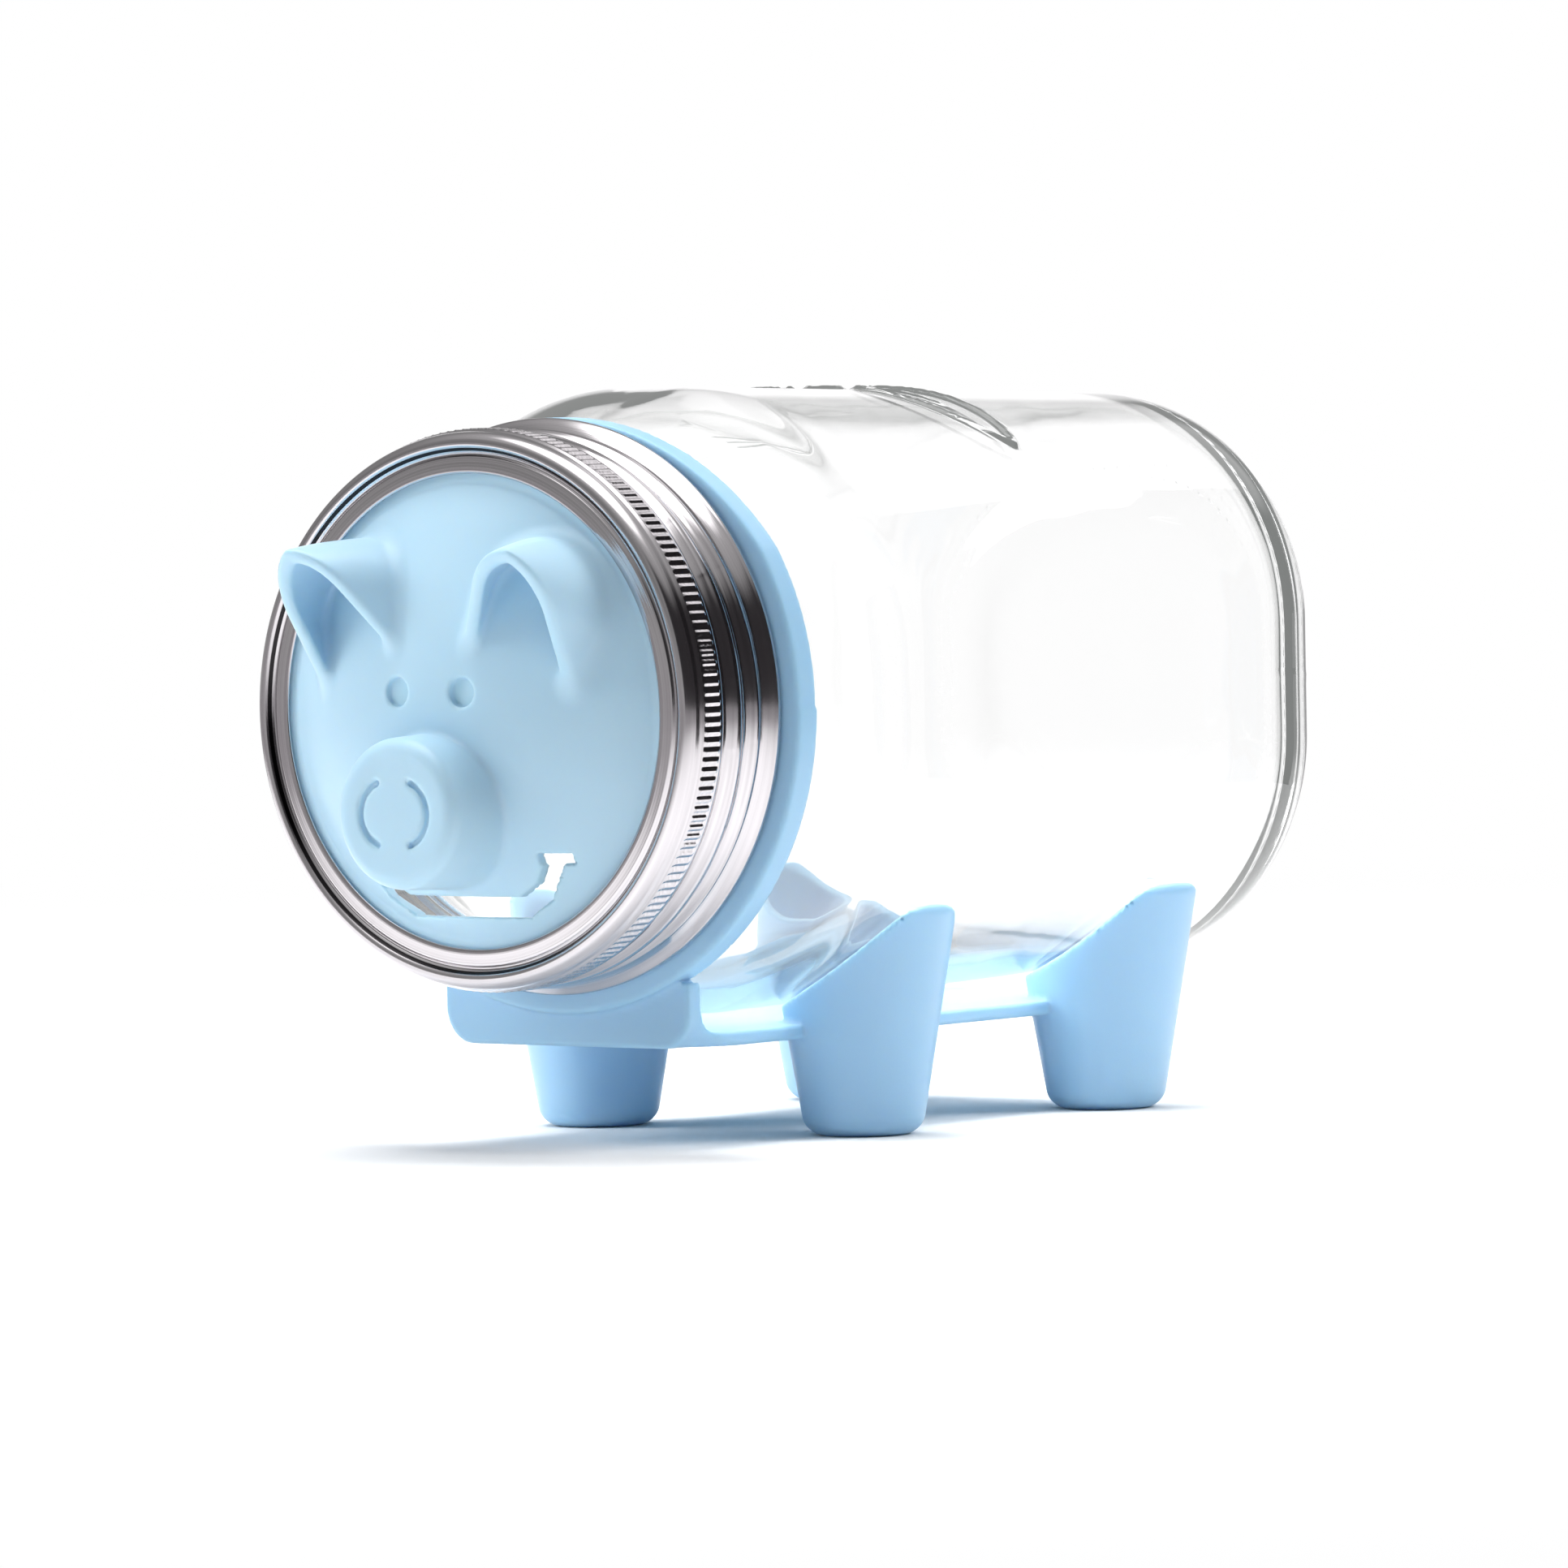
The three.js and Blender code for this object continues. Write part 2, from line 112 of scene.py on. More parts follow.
def light_room():
    """A white room. What the steel and glass mirror is a darker room with pale backdrops."""
    world = bpy.data.worlds.new("room")
    scene.world = world
    world.use_nodes = True
    tree = world.node_tree
    tree.nodes.clear()
    path = add_node(tree, "LightPath", {})
    direction = add_node(tree, "TexCoord", {}).outputs["Generated"]
    height = add_node(tree, "SeparateXYZ", {"Vector": direction}).outputs["Z"]
    walls = add_node(tree, "ValToRGB", {"Fac": add_node(tree, "MapRange", {
        "Value": height, "From Min": -1, "From Max": 1}).outputs["Result"]})
    ramp = walls.color_ramp
    ramp.elements[0].position = 0.46
    ramp.elements[0].color = (0.8, 0.78, 0.79, 1)
    ramp.elements[1].position = 0.97
    ramp.elements[1].color = (1, 1, 1, 1)
    for place, grey in ((0.5, 0.36), (0.6, 0.22), (0.8, 0.24), (0.92, 0.45)):
        ramp.elements.new(place).color = (grey, grey, grey, 1)

    def towards(aim, low, high):
        """0 to 1 as the direction turns to aim, between two cosines of the angle."""
        facing = add_node(tree, "VectorMath", {0: direction, 1: aim}, operation="DOT_PRODUCT")
        return add_node(tree, "MapRange", {"Value": facing.outputs["Value"], "From Min": low,
                                           "From Max": high},
                        interpolation_type="SMOOTHSTEP").outputs["Result"]

    low_down = add_node(tree, "MapRange", {"Value": height, "From Min": 0.7, "From Max": 0.52},
                        interpolation_type="SMOOTHSTEP").outputs["Result"]
    dark_side = add_node(tree, "Math", {0: towards((0.985, 0.17, 0), 0.08, 0.34), 1: low_down},
                         operation="MULTIPLY").outputs[0]
    darkened = add_node(tree, "Mix", {"Factor": dark_side, 6: walls.outputs["Color"],
                                      7: (0.03, 0.028, 0.03, 1)}, data_type="RGBA")
    overhead = add_node(tree, "MapRange", {"Value": height, "From Min": 0.84, "From Max": 0.95,
                                           "To Max": 2.4}, interpolation_type="SMOOTHSTEP")
    backdrops = add_node(tree, "Math", {0: towards((-0.607, 0.794, 0), 0.93, 0.97),
                                        1: towards((-0.02, 0.8, 0.6), 0.94, 0.975)},
                         operation="MAXIMUM").outputs[0]
    room = add_node(tree, "Mix", {"Factor": backdrops, 6: darkened.outputs[2],
                                  7: (0.95, 0.94, 0.95, 1)}, data_type="RGBA")
    through = add_node(tree, "Math", {0: path.outputs["Transmission Depth"], 1: 0.5},
                       operation="GREATER_THAN").outputs[0]
    inside = add_node(tree, "Mix", {"Factor": through, 6: room.outputs[2],
                                    7: (0.8, 0.81, 0.81, 1)}, data_type="RGBA")
    strength = add_node(tree, "Math", {0: overhead.outputs["Result"], 1: 1.1}, operation="ADD")
    shine = add_node(tree, "Background", {"Color": inside.outputs[2],
                                          "Strength": strength.outputs[0]})
    fill = add_node(tree, "Background", {"Color": (0.96, 0.98, 1, 1), "Strength": 0.18})
    white = add_node(tree, "Background", {"Color": (1, 1, 1, 1), "Strength": 1.0})
    seen = add_node(tree, "Math", {0: path.outputs["Is Camera Ray"],
                                   1: path.outputs["Is Transmission Ray"]}, operation="MAXIMUM")
    mixed = add_node(tree, "MixShader", {0: path.outputs["Is Glossy Ray"],
                                         1: fill.outputs[0], 2: shine.outputs[0]})
    lit = add_node(tree, "MixShader", {0: seen.outputs[0], 1: mixed.outputs[0],
                                       2: white.outputs[0]})
    add_node(tree, "OutputWorld", {"Surface": lit.outputs[0]})


def add_softbox(name, place, size, power):
    """A lamp aimed at the jar. It is hidden from mirrored rays, which see the room only."""
    data = bpy.data.lights.new(name, "AREA")
    data.shape = "RECTANGLE"
    data.size, data.size_y = size
    data.energy = power
    lamp = bpy.data.objects.new(name, data)
    lamp.location = place
    lamp.rotation_euler = (box_middle - Vector(place)).to_track_quat("-Z", "Y").to_euler()
    lamp.visible_camera = False
    lamp.visible_glossy = False
    scene.collection.objects.link(lamp)


def add_table():
    segments, radius = 96, 6.0
    rim = [(radius * math.cos(a), radius * math.sin(a), 0)
           for a in np.linspace(0, 2 * math.pi, segments, endpoint=False)]
    mesh = bpy.data.meshes.new("table_top")
    mesh.from_pydata(rim, [], [list(range(segments))])
    top = bpy.data.objects.new("table_top", mesh)
    scene.collection.objects.link(top)
    material = new_material("table_white")
    tree = material.node_tree
    place = add_node(tree, "TexCoord", {}).outputs["Object"]
    from_jar = add_node(tree, "VectorMath", {0: place}, operation="LENGTH").outputs["Value"]
    fade = add_node(tree, "MapRange", {"Value": from_jar, "From Min": 0.12, "From Max": 0.9},
                    interpolation_type="SMOOTHSTEP")
    board = add_node(tree, "BsdfDiffuse", {"Color": (0.95, 0.95, 0.955, 1)})
    path = add_node(tree, "LightPath", {}).outputs
    # Painted reflection: mirrored rays outside the glass see the table top as grey shade, and
    # all other rays see it white.
    in_steel = add_node(tree, "Math", {0: path["Is Glossy Ray"], 1: path["Transmission Depth"]},
                        operation="SUBTRACT", use_clamp=True)
    tone = add_node(tree, "Mix", {"Factor": in_steel.outputs[0], 6: (1, 1, 1, 1),
                                  7: (0.34, 0.33, 0.34, 1)}, data_type="RGBA")
    glow = add_node(tree, "Emission", {"Color": tone.outputs[2], "Strength": 1.0})
    surface = add_node(tree, "MixShader", {0: fade.outputs["Result"], 1: board.outputs[0],
                                           2: glow.outputs[0]})
    add_node(tree, "OutputMaterial", {"Surface": surface.outputs[0]})
    mesh.materials.append(material)


def add_flag(name, place, width, height):
    """A black cloth that faces the jar. Only mirrored rays outside the glass see it."""
    mesh = bpy.data.meshes.new(name)
    mesh.from_pydata([(-width / 2, 0, 0), (width / 2, 0, 0), (width / 2, 0, height),
                      (-width / 2, 0, height)], [], [(0, 1, 2, 3)])
    flag = bpy.data.objects.new(name, mesh)
    flag.location = place
    flag.rotation_euler = (0, 0, math.atan2(place[1], place[0]) - math.pi / 2)
    black = new_material("black_cloth")
    tree = black.node_tree
    board = add_node(tree, "BsdfDiffuse", {"Color": (0.012, 0.011, 0.012, 1)})
    clear = add_node(tree, "BsdfTransparent", {"Color": (1, 1, 1, 1)})
    through = add_node(tree, "Math", {0: add_node(tree, "LightPath", {}).outputs[
        "Transmission Depth"], 1: 0.5}, operation="GREATER_THAN")
    cloth = add_node(tree, "MixShader", {0: through.outputs[0], 1: board.outputs[0],
                                         2: clear.outputs[0]})
    add_node(tree, "OutputMaterial", {"Surface": cloth.outputs[0]})
    mesh.materials.append(black)
    for ray in ("camera", "diffuse", "transmission", "shadow"):
        setattr(flag, "visible_" + ray, False)
    scene.collection.objects.link(flag)


add_camera()
light_room()
add_table()
add_softbox("top_light", (-0.2, 0.0, 1.2), (0.8, 0.8), 15.0)
add_softbox("left_light", (-1.1, -0.8, 0.75), (0.8, 0.8), 13.0)
add_softbox("right_light", (0.8, 0.55, 0.85), (0.5, 0.7), 7.0)
add_flag("right_flag", (0.22, 0.20, 0), 0.34, 0.30)

# ---- Glass jar -----------------------------------------------------------------------
# A machine-pressed wide-mouth jar of clear soda glass: round neck with a thread, then a
# body pressed to a rounded square. A pair of leaves stands proud on the upper face, and
# two rows of fine dots round the base keep it from sliding on a bench.

band_low, band_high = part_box("screw_band")
jar_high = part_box("glass_jar")[1]
origin = np.array((0, band_low.y, (band_low.z + band_high.z) / 2))  # jar axis, band front
MM = 0.001


def mesh_piece(name, points, faces, material):
    """A smooth-shaded object from points in the jar's own frame, in millimetres."""
    mesh = bpy.data.meshes.new(name)
    corners = np.concatenate([f.ravel() for f in faces]).astype(np.int32)
    sizes = np.concatenate([np.full(len(f), f.shape[1]) for f in faces])
    starts = np.concatenate(([0], np.cumsum(sizes)[:-1])).astype(np.int32)
    mesh.vertices.add(len(points))
    mesh.vertices.foreach_set("co", (points * MM + origin).astype(np.float32).ravel())
    mesh.loops.add(len(corners))
    mesh.loops.foreach_set("vertex_index", corners)
    mesh.polygons.add(len(sizes))
    mesh.polygons.foreach_set("loop_start", starts)
    mesh.update(calc_edges=True)
    mesh.validate()
    mesh.shade_smooth()
    mesh.materials.append(material)
    piece = bpy.data.objects.new(name, mesh)
    scene.collection.objects.link(piece)
    return piece


def ring_faces(rows, columns, closed):
    """Quads between neighbouring rows of a turned skin, and round again if it closes."""
    row = np.arange(rows if closed else rows - 1)[:, None]
    column = np.arange(columns)[None, :]
    following, beside = (row + 1) % rows, (column + 1) % columns
    quads = np.stack([row * columns + column, row * columns + beside,
                      following * columns + beside, following * columns + column], -1)
    return quads.reshape(-1, 4)


def smooth(value, low, high):
    t = np.clip((value - low) / (high - low), 0, 1)
    return t * t * (3 - 2 * t)


INSIDE, OUTSIDE, BASE = 0, 1, 2  # faces of the glass
mouth, base = 3.3, (jar_high.y - band_low.y) / MM
neck_radius, neck_bore = 41.3, 38.0
shoulder_start, shoulder_end = 27.1, 50.1
shoulder_half_width = 43.6
heel_depth, heel_inset = 20, 13
heel_start = base - heel_depth
seam_stands = 0.12
half_width_front = jar_high.x / MM - seam_stands
half_width_rear = half_width_front - 2.6
thread_pitch, thread_turns = 5.08, 1.5
glass_wall, push_up = 3.0, 2.5
leaf_spread = math.radians(46)  # the leaves' share of the way round, to each side
dot_rows, dots_round = ((33.4, 0.55), (36.4, 0.7)), 90  # radius and width of each row


def flat_share(y):
    """How much of the half width is flat: none at the neck, most at the heel."""
    along = np.clip((y - shoulder_end) / (heel_start - shoulder_end), 0, 1)
    return smooth(y, shoulder_start, shoulder_end) * (0.12 + 0.095 * along)


def square_stretch(angle, share):
    """How far a rounded square of half width 1 reaches, at an angle about its middle."""
    high = np.maximum(abs(np.sin(angle)), abs(np.cos(angle)))
    low = np.minimum(abs(np.sin(angle)), abs(np.cos(angle)))
    corner = share * (high + low) + np.sqrt(np.maximum(
        (1 - share) ** 2 - share ** 2 * (1 - 2 * high * low), 0))
    return np.where(low <= share * high, 1 / high, corner)


def body_half_width(y):
    """Half width of the glass from the shoulder to where the heel begins."""
    quarter = np.clip((y - shoulder_start) / (shoulder_end - shoulder_start), 0, 1)
    widened = (half_width_front - shoulder_half_width) * np.sin(quarter * math.pi / 2)
    along = np.clip((y - shoulder_end) / (heel_start - shoulder_end), 0, 1)
    return shoulder_half_width + widened - (half_width_front - half_width_rear) * along


def helix_bead(angle, y, start, turns, half_width):
    """0 to 1 over a thread bead that winds right-handed from start, and fades at its ends."""
    fade = 0.125  # of a turn
    bead = np.zeros(np.broadcast(angle, y).shape)
    for turn in range(math.ceil(turns)):
        travelled = angle / (2 * math.pi) + turn
        across = (y - start - travelled * thread_pitch) / half_width
        ends = smooth(travelled, 0, fade) * (1 - smooth(travelled, turns - fade, turns))
        bead = np.maximum(bead, np.sqrt(np.clip(1 - across ** 2, 0, 1)) * ends)
    return bead


def leaf_outline(around, y):
    """0 to 1 over the raised lines of two leaves and a berry. Around is millimetres."""
    reach, start, middle, berry_radius = 26.0, 7.0, 95.0, 2.6
    t = (abs(around) - start) / reach
    bend = 6 * np.clip(t, 0, 1) ** 1.5
    half = 9.0 * np.sqrt(np.clip(t, 0, 1)) * np.clip(1 - t, 0, 1) ** 0.75 * 1.5
    off = abs(abs(y - middle - bend) - half)
    within = (t > -0.03) & (t < 1.03)
    line = np.exp(-(off / 0.75) ** 2) * within
    vein = np.exp(-((y - middle - bend) / 0.6) ** 2) * ((t > 0.02) & (t < 0.55)) * 0.6
    berry = np.exp(-((np.hypot(around, y - middle) - berry_radius) / 0.7) ** 2)
    return np.maximum(np.maximum(line, vein), berry)


def jar_skin():
    """Rows of radius before pressing, y and face, from the middle inside round to the base."""
    rows = []

    def stretch(radii, places, face):
        rows.extend((r, y, face) for r, y in zip(radii, places, strict=True))

    quarter = np.linspace(0, math.pi / 2, 15)
    floor_inside = base - 5
    stretch(np.linspace(1, 31, 9),
            floor_inside - push_up + 1.1 * np.linspace(0, 1, 9) ** 2, INSIDE)
    wall_inside = half_width_rear - glass_wall
    stretch(wall_inside - 11.5 * (1 - np.sin(quarter)),
            floor_inside - 17 * (1 - np.cos(quarter)), INSIDE)
    y = np.linspace(heel_start - 3, shoulder_start + 1, 26)
    stretch(body_half_width(y) - glass_wall, y, INSIDE)
    stretch([39.6, 38.6, neck_bore, neck_bore, neck_bore], [25.4, 23.4, 20.5, 12, 6], INSIDE)
    rim = np.linspace(0, math.pi, 12)
    middle, half = (neck_radius + neck_bore) / 2, (neck_radius - neck_bore) / 2
    stretch(middle - half * np.cos(rim), mouth + half * (1 - np.sin(rim)), INSIDE)
    stretch(np.full(26, neck_radius), np.linspace(5.6, 18, 26), OUTSIDE)
    bead = np.linspace(0, math.pi, 7)
    stretch(neck_radius + np.sin(bead), 19.4 - 1.1 * np.cos(bead), OUTSIDE)
    stretch([neck_radius, 42.1, 43.2], [21.6, 24.2, 26.4], OUTSIDE)
    y = np.concatenate([np.linspace(27.1, 78, 38), np.linspace(78.6, 112, 58),
                        np.linspace(113.4, heel_start - 1.5, 26)])
    stretch(body_half_width(y), y, OUTSIDE)
    heel = np.concatenate([np.linspace(0, 1.2, 10), np.linspace(1.24, math.pi / 2, 14)])
    stretch(half_width_rear - heel_inset * (1 - np.cos(heel)),
            heel_start + heel_depth * np.sin(heel), OUTSIDE)
    radius = np.concatenate([np.linspace(34.9, 31.9, 9), np.linspace(30, 1, 14)])
    stretch(radius, base - push_up * smooth(32.5 - radius, 0, 14), BASE)
    return np.array(rows)


def make_glass_mesh(material):
    leaf_radius, seam_radius = 47, 50
    from_top = np.concatenate([
        np.linspace(-leaf_spread, leaf_spread, 120, endpoint=False),
        np.linspace(leaf_spread, 2 * math.pi - leaf_spread, 240, endpoint=False)])
    rows = jar_skin()
    radius, y, face = (rows[:, i][:, None] for i in range(3))
    angle = from_top[None, :]
    wrapped = (angle + math.pi) % (2 * math.pi) - math.pi
    reach = radius * square_stretch(angle, flat_share(y))
    thread = 1.7 * helix_bead(angle % (2 * math.pi), y, 6.5, thread_turns, 1.7) * (y < 18)
    leaves = 0.75 * leaf_outline(wrapped * leaf_radius, y) * (abs(wrapped) < leaf_spread)
    seam = np.exp(-((abs(abs(wrapped) - math.pi / 2)) * seam_radius / 0.55) ** 2)
    proud = thread + leaves * (y > 60) + seam_stands * seam * (y > 27)
    reach = reach + proud * (face == OUTSIDE)
    rows_of_dots = sum(np.exp(-((radius - at) / width) ** 2) for at, width in dot_rows)
    dots = 0.5 * (1 + np.cos(angle * dots_round)) * rows_of_dots * (y > heel_start + 15)
    base_ring = 0.35 * np.exp(-((radius - 9) / 1.2) ** 2)
    sunk = np.where(face > INSIDE, -0.45 * dots ** 2, 0) + np.where(face == BASE, base_ring, 0)
    points = np.stack([reach * np.sin(angle), y + sunk, reach * np.cos(angle)], -1)
    count, columns = points.shape[:2]
    points = points.reshape(-1, 3)
    ends = np.array([[0, rows[0, 1], 0], [0, rows[-1, 1], 0]])
    hub = np.arange(columns)
    beside = (hub + 1) % columns
    first, last = count * columns, count * columns + 1
    caps = np.concatenate([
        np.stack([np.full(columns, first), beside, hub], -1),
        np.stack([np.full(columns, last), (count - 1) * columns + hub,
                  (count - 1) * columns + beside], -1)])
    return mesh_piece("jar_glass", np.concatenate([points, ends]),
                      [ring_faces(count, columns, False), caps], material)


def clear_glass():
    """Clear glass with a slow ripple. Rays caught in the wall end in a painted pale glow, not
    black.
    """
    material = new_material("clear_glass")
    tree = material.node_tree
    place = add_node(tree, "TexCoord", {}).outputs["Object"]
    slow = add_node(tree, "TexNoise", {"Vector": place, "Scale": 26, "Detail": 1.5})
    ripple = add_node(tree, "Bump", {"Height": slow.outputs["Fac"], "Strength": 0.12,
                                     "Distance": 0.0025})
    smear = add_node(tree, "TexNoise", {"Vector": place, "Scale": 60, "Detail": 3})
    gloss = add_node(tree, "MapRange", {"Value": smear.outputs["Fac"], "From Min": 0.3,
                                        "From Max": 0.8, "To Min": 0.0, "To Max": 0.04})
    glass = add_node(tree, "BsdfPrincipled", {
        "Base Color": (1, 1, 1, 1), "Roughness": gloss.outputs["Result"], "IOR": 1.5,
        "Metallic": 0.0, "Transmission Weight": 1.0, "Normal": ripple.outputs["Normal"]})
    path = add_node(tree, "LightPath", {}).outputs
    clear = add_node(tree, "BsdfTransparent", {"Color": (0.985, 0.99, 0.99, 1)})
    # Painted glow: rays still in the glass after four bounces end on a pale emission.
    trapped = add_node(tree, "Math", {0: path["Ray Depth"], 1: 4.5}, operation="GREATER_THAN")
    pale = add_node(tree, "Emission", {"Color": (0.14, 0.15, 0.145, 1), "Strength": 1.0})
    settled = add_node(tree, "MixShader", {0: trapped.outputs[0], 1: glass.outputs[0],
                                           2: pale.outputs[0]})
    # Painted glow: a faint white emission that only camera rays see, laid over the glass.
    bloom = add_node(tree, "Math", {0: path["Is Camera Ray"], 1: 0.09}, operation="MULTIPLY")
    camera_glow = add_node(tree, "Emission", {"Color": (1, 1, 1, 1), "Strength": bloom.outputs[0]})
    glow_added = add_node(tree, "AddShader", {0: settled.outputs[0], 1: camera_glow.outputs[0]})
    surface = add_node(tree, "MixShader", {0: path["Is Shadow Ray"], 1: glow_added.outputs[0],
                                           2: clear.outputs[0]})
    add_node(tree, "OutputMaterial", {"Surface": surface.outputs[0]})
    return material


jar = make_glass_mesh(clear_glass())
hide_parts("glass_jar")
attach(jar, "root")

# ---- Screw band ----------------------------------------------------------------------
# Tin-plated sheet steel, spun and rolled: a flat lip over the lid, a row of grip ribs,
# a thread rolled into the skirt and a wired rear rim. It turns on the jar's thread.

rim_radius = band_high.x / MM
skirt_radius = rim_radius - 1.3
ribs, per_rib = 180, 6
roll_start, crown_start = 9.04, 9.04 + thread_pitch / 2


def band_profile():
    """Closed section of the sheet: out over the front, back along the skirt, home inside."""
    outside = [(38.35, 1.06), (38.0, 0.95), (37.9, 0.78), (38.02, 0.6), (38.3, 0.5)]
    outside += [(r, 0.5 + 0.1 * (r - 38.3)) for r in (38.9, 39.6, 40.2)]
    outside += [(r, 0.69 + 0.45 * math.sin((r - 40.4) / 1.3 * math.pi) ** 2)
                for r in np.linspace(40.45, 41.7, 7)]
    outside += [(41.95, 0.38), (42.25, 0.1)]
    for a in np.linspace(0, math.pi / 2, 9):
        outside.append((42.6 + 1.95 * math.sin(a), 2.4 * (1 - math.cos(a))))
    outside += [(skirt_radius - 0.45, 2.75), (skirt_radius - 0.3, 3.1)]
    outside += [(skirt_radius - 0.2, y) for y in (3.3, 3.5, 3.75, 4.1, 5.5, 6.9, 7.25, 7.5, 7.7)]
    outside += [(skirt_radius - 0.2 - 0.5 * float(smooth(y, 8.0, 9.2)), y)
                for y in np.linspace(8.1, 18.6, 21)]
    for a in np.linspace(-0.9, 2.6, 10):
        outside.append((rim_radius - 0.85 + 0.85 * math.cos(a), 20.75 + 0.95 * math.sin(a)))
    inside = [(rim_radius - 1.75, 20.4), (skirt_radius - 1.15, 18.9)]
    inside += [(skirt_radius - 1.2, y) for y in np.linspace(18.2, 8.2, 12)]
    inside += [(skirt_radius - 0.75, 7.4), (skirt_radius - 0.75, 3.2)]
    for a in np.linspace(math.pi / 2, 0, 5):
        inside.append((42.5 + 1.5 * math.sin(a), 2.5 - 1.7 * math.cos(a)))
    inside += [(41.1, 1.4), (40.2, 1.14), (39.2, 1.12)]
    return outside, inside


def make_band_mesh(material):
    outside, inside = band_profile()
    profile = np.array(outside + inside)
    angle = np.arange(ribs * per_rib)[None, :] * 2 * math.pi / (ribs * per_rib)
    radius, y = profile[:, :1], profile[:, 1:]
    outer = (np.arange(len(profile)) < len(outside))[:, None]
    in_ribs = smooth(y, 3.45, 3.8) * (1 - smooth(y, 7.2, 7.55)) * outer
    rib = 0.3 * in_ribs * (0.5 + 0.5 * np.cos(angle * ribs)) - 0.12 * in_ribs
    rolled = helix_bead(angle, y, roll_start, 2.0, 1.35)
    roll = -rolled * np.where(outer, 0.95, 1.55)
    roll = roll * smooth(y, 8.0, 9.0) * (1 - smooth(y, 18.2, 19.4))
    crown = 0.28 * helix_bead(angle, y, crown_start, 1.5, 1.0) * outer
    reach = radius + rib + roll + crown * (y < 18.6)
    points = np.stack([reach * np.sin(angle), y + 0 * angle, reach * np.cos(angle)], -1)
    rows, columns = points.shape[:2]
    return mesh_piece("band_steel", points.reshape(-1, 3),
                      [ring_faces(rows, columns, True)[:, ::-1]], material)


def tinned_steel():
    """Bright tinplate with fine lines round the axis and a painted shade line in the groove of
    the lip.
    """
    material = new_material("tinned_steel")
    tree = material.node_tree
    place = add_node(tree, "TexCoord", {}).outputs["Object"]
    centred = add_node(tree, "VectorMath", {0: place, 1: tuple(origin)}, operation="SUBTRACT")
    parts = add_node(tree, "SeparateXYZ", {"Vector": centred.outputs[0]})
    across = add_node(tree, "CombineXYZ", {"X": parts.outputs["X"], "Z": parts.outputs["Z"]})
    out = add_node(tree, "VectorMath", {0: across.outputs[0]}, operation="LENGTH")
    spun = add_node(tree, "CombineXYZ", {"X": parts.outputs["Y"], "Y": out.outputs["Value"]})
    lines = add_node(tree, "TexNoise", {"Vector": spun.outputs[0], "Scale": 1500, "Detail": 4})
    cloud = add_node(tree, "TexNoise", {"Vector": place, "Scale": 55, "Detail": 4})
    gloss = add_node(tree, "MapRange", {"Value": cloud.outputs["Fac"], "From Min": 0.3,
                                        "From Max": 0.7, "To Min": 0.1, "To Max": 0.18})
    tone = add_node(tree, "Mix", {"Factor": lines.outputs["Fac"], 6: (0.42, 0.39, 0.41, 1),
                                  7: (0.92, 0.89, 0.91, 1)}, data_type="RGBA")
    # Painted shade: the groove of the lip, at the front only, darkened almost to black.
    in_groove = add_node(tree, "Math", {0: out.outputs["Value"], 1: 0.04175, 2: 0.00025},
                         operation="COMPARE")
    at_front = add_node(tree, "Math", {0: parts.outputs["Y"], 1: 0.0013}, operation="LESS_THAN")
    groove_shade = add_node(tree, "Math", {0: in_groove.outputs[0], 1: at_front.outputs[0]},
                     operation="MULTIPLY")
    shaded_tone = add_node(tree, "Mix", {"Factor": groove_shade.outputs[0], 6: tone.outputs[2],
                                     7: (0.03, 0.028, 0.03, 1)}, data_type="RGBA")
    grain = add_node(tree, "Bump", {"Height": lines.outputs["Fac"], "Strength": 0.5,
                                    "Distance": 0.00008})
    steel = add_node(tree, "BsdfPrincipled", {
        "Base Color": shaded_tone.outputs[2], "Metallic": 1.0, "Roughness": gloss.outputs["Result"],
        "Normal": grain.outputs["Normal"]})
    add_node(tree, "OutputMaterial", {"Surface": steel.outputs[0]})
    return material


band = make_band_mesh(tinned_steel())
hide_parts("screw_band")
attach(band, "band")

# ---- Pig-face lid --------------------------------------------------------------------
# One moulded disc of satin light-blue plastic, hollow behind: a low dome with two cupped
# ears, sunk eyes, a hollow snout and the smile that is the coin slot. Its flange sits on
# the jar's mouth under the lip of the screw band.


def both(a, b, edge=0.0):
    """Where two solids overlap, given as distances, with a round edge of that radius."""
    u, v = np.maximum(a + edge, 0), np.maximum(b + edge, 0)
    return np.minimum(np.maximum(a, b), -edge) + np.sqrt(u * u + v * v)


def joined(a, b, fillet=0.0):
    """Two solids made one, with a round fillet of that radius between them."""
    return -both(-a, -b, fillet)


def cut(a, b, edge=0.0):
    """The first solid without the second."""
    return both(a, -b, edge)


def flat_bar(x, z, start, end, half):
    """A straight bar in outline, from start to end, with square ends."""
    run = np.subtract(end, start)
    length = math.hypot(*run)
    along = ((x - start[0]) * run[0] + (z - start[1]) * run[1]) / length
    across = ((z - start[1]) * run[0] - (x - start[0]) * run[1]) / length
    return both(abs(along - length / 2) - length / 2, abs(across) - half, 0.2)


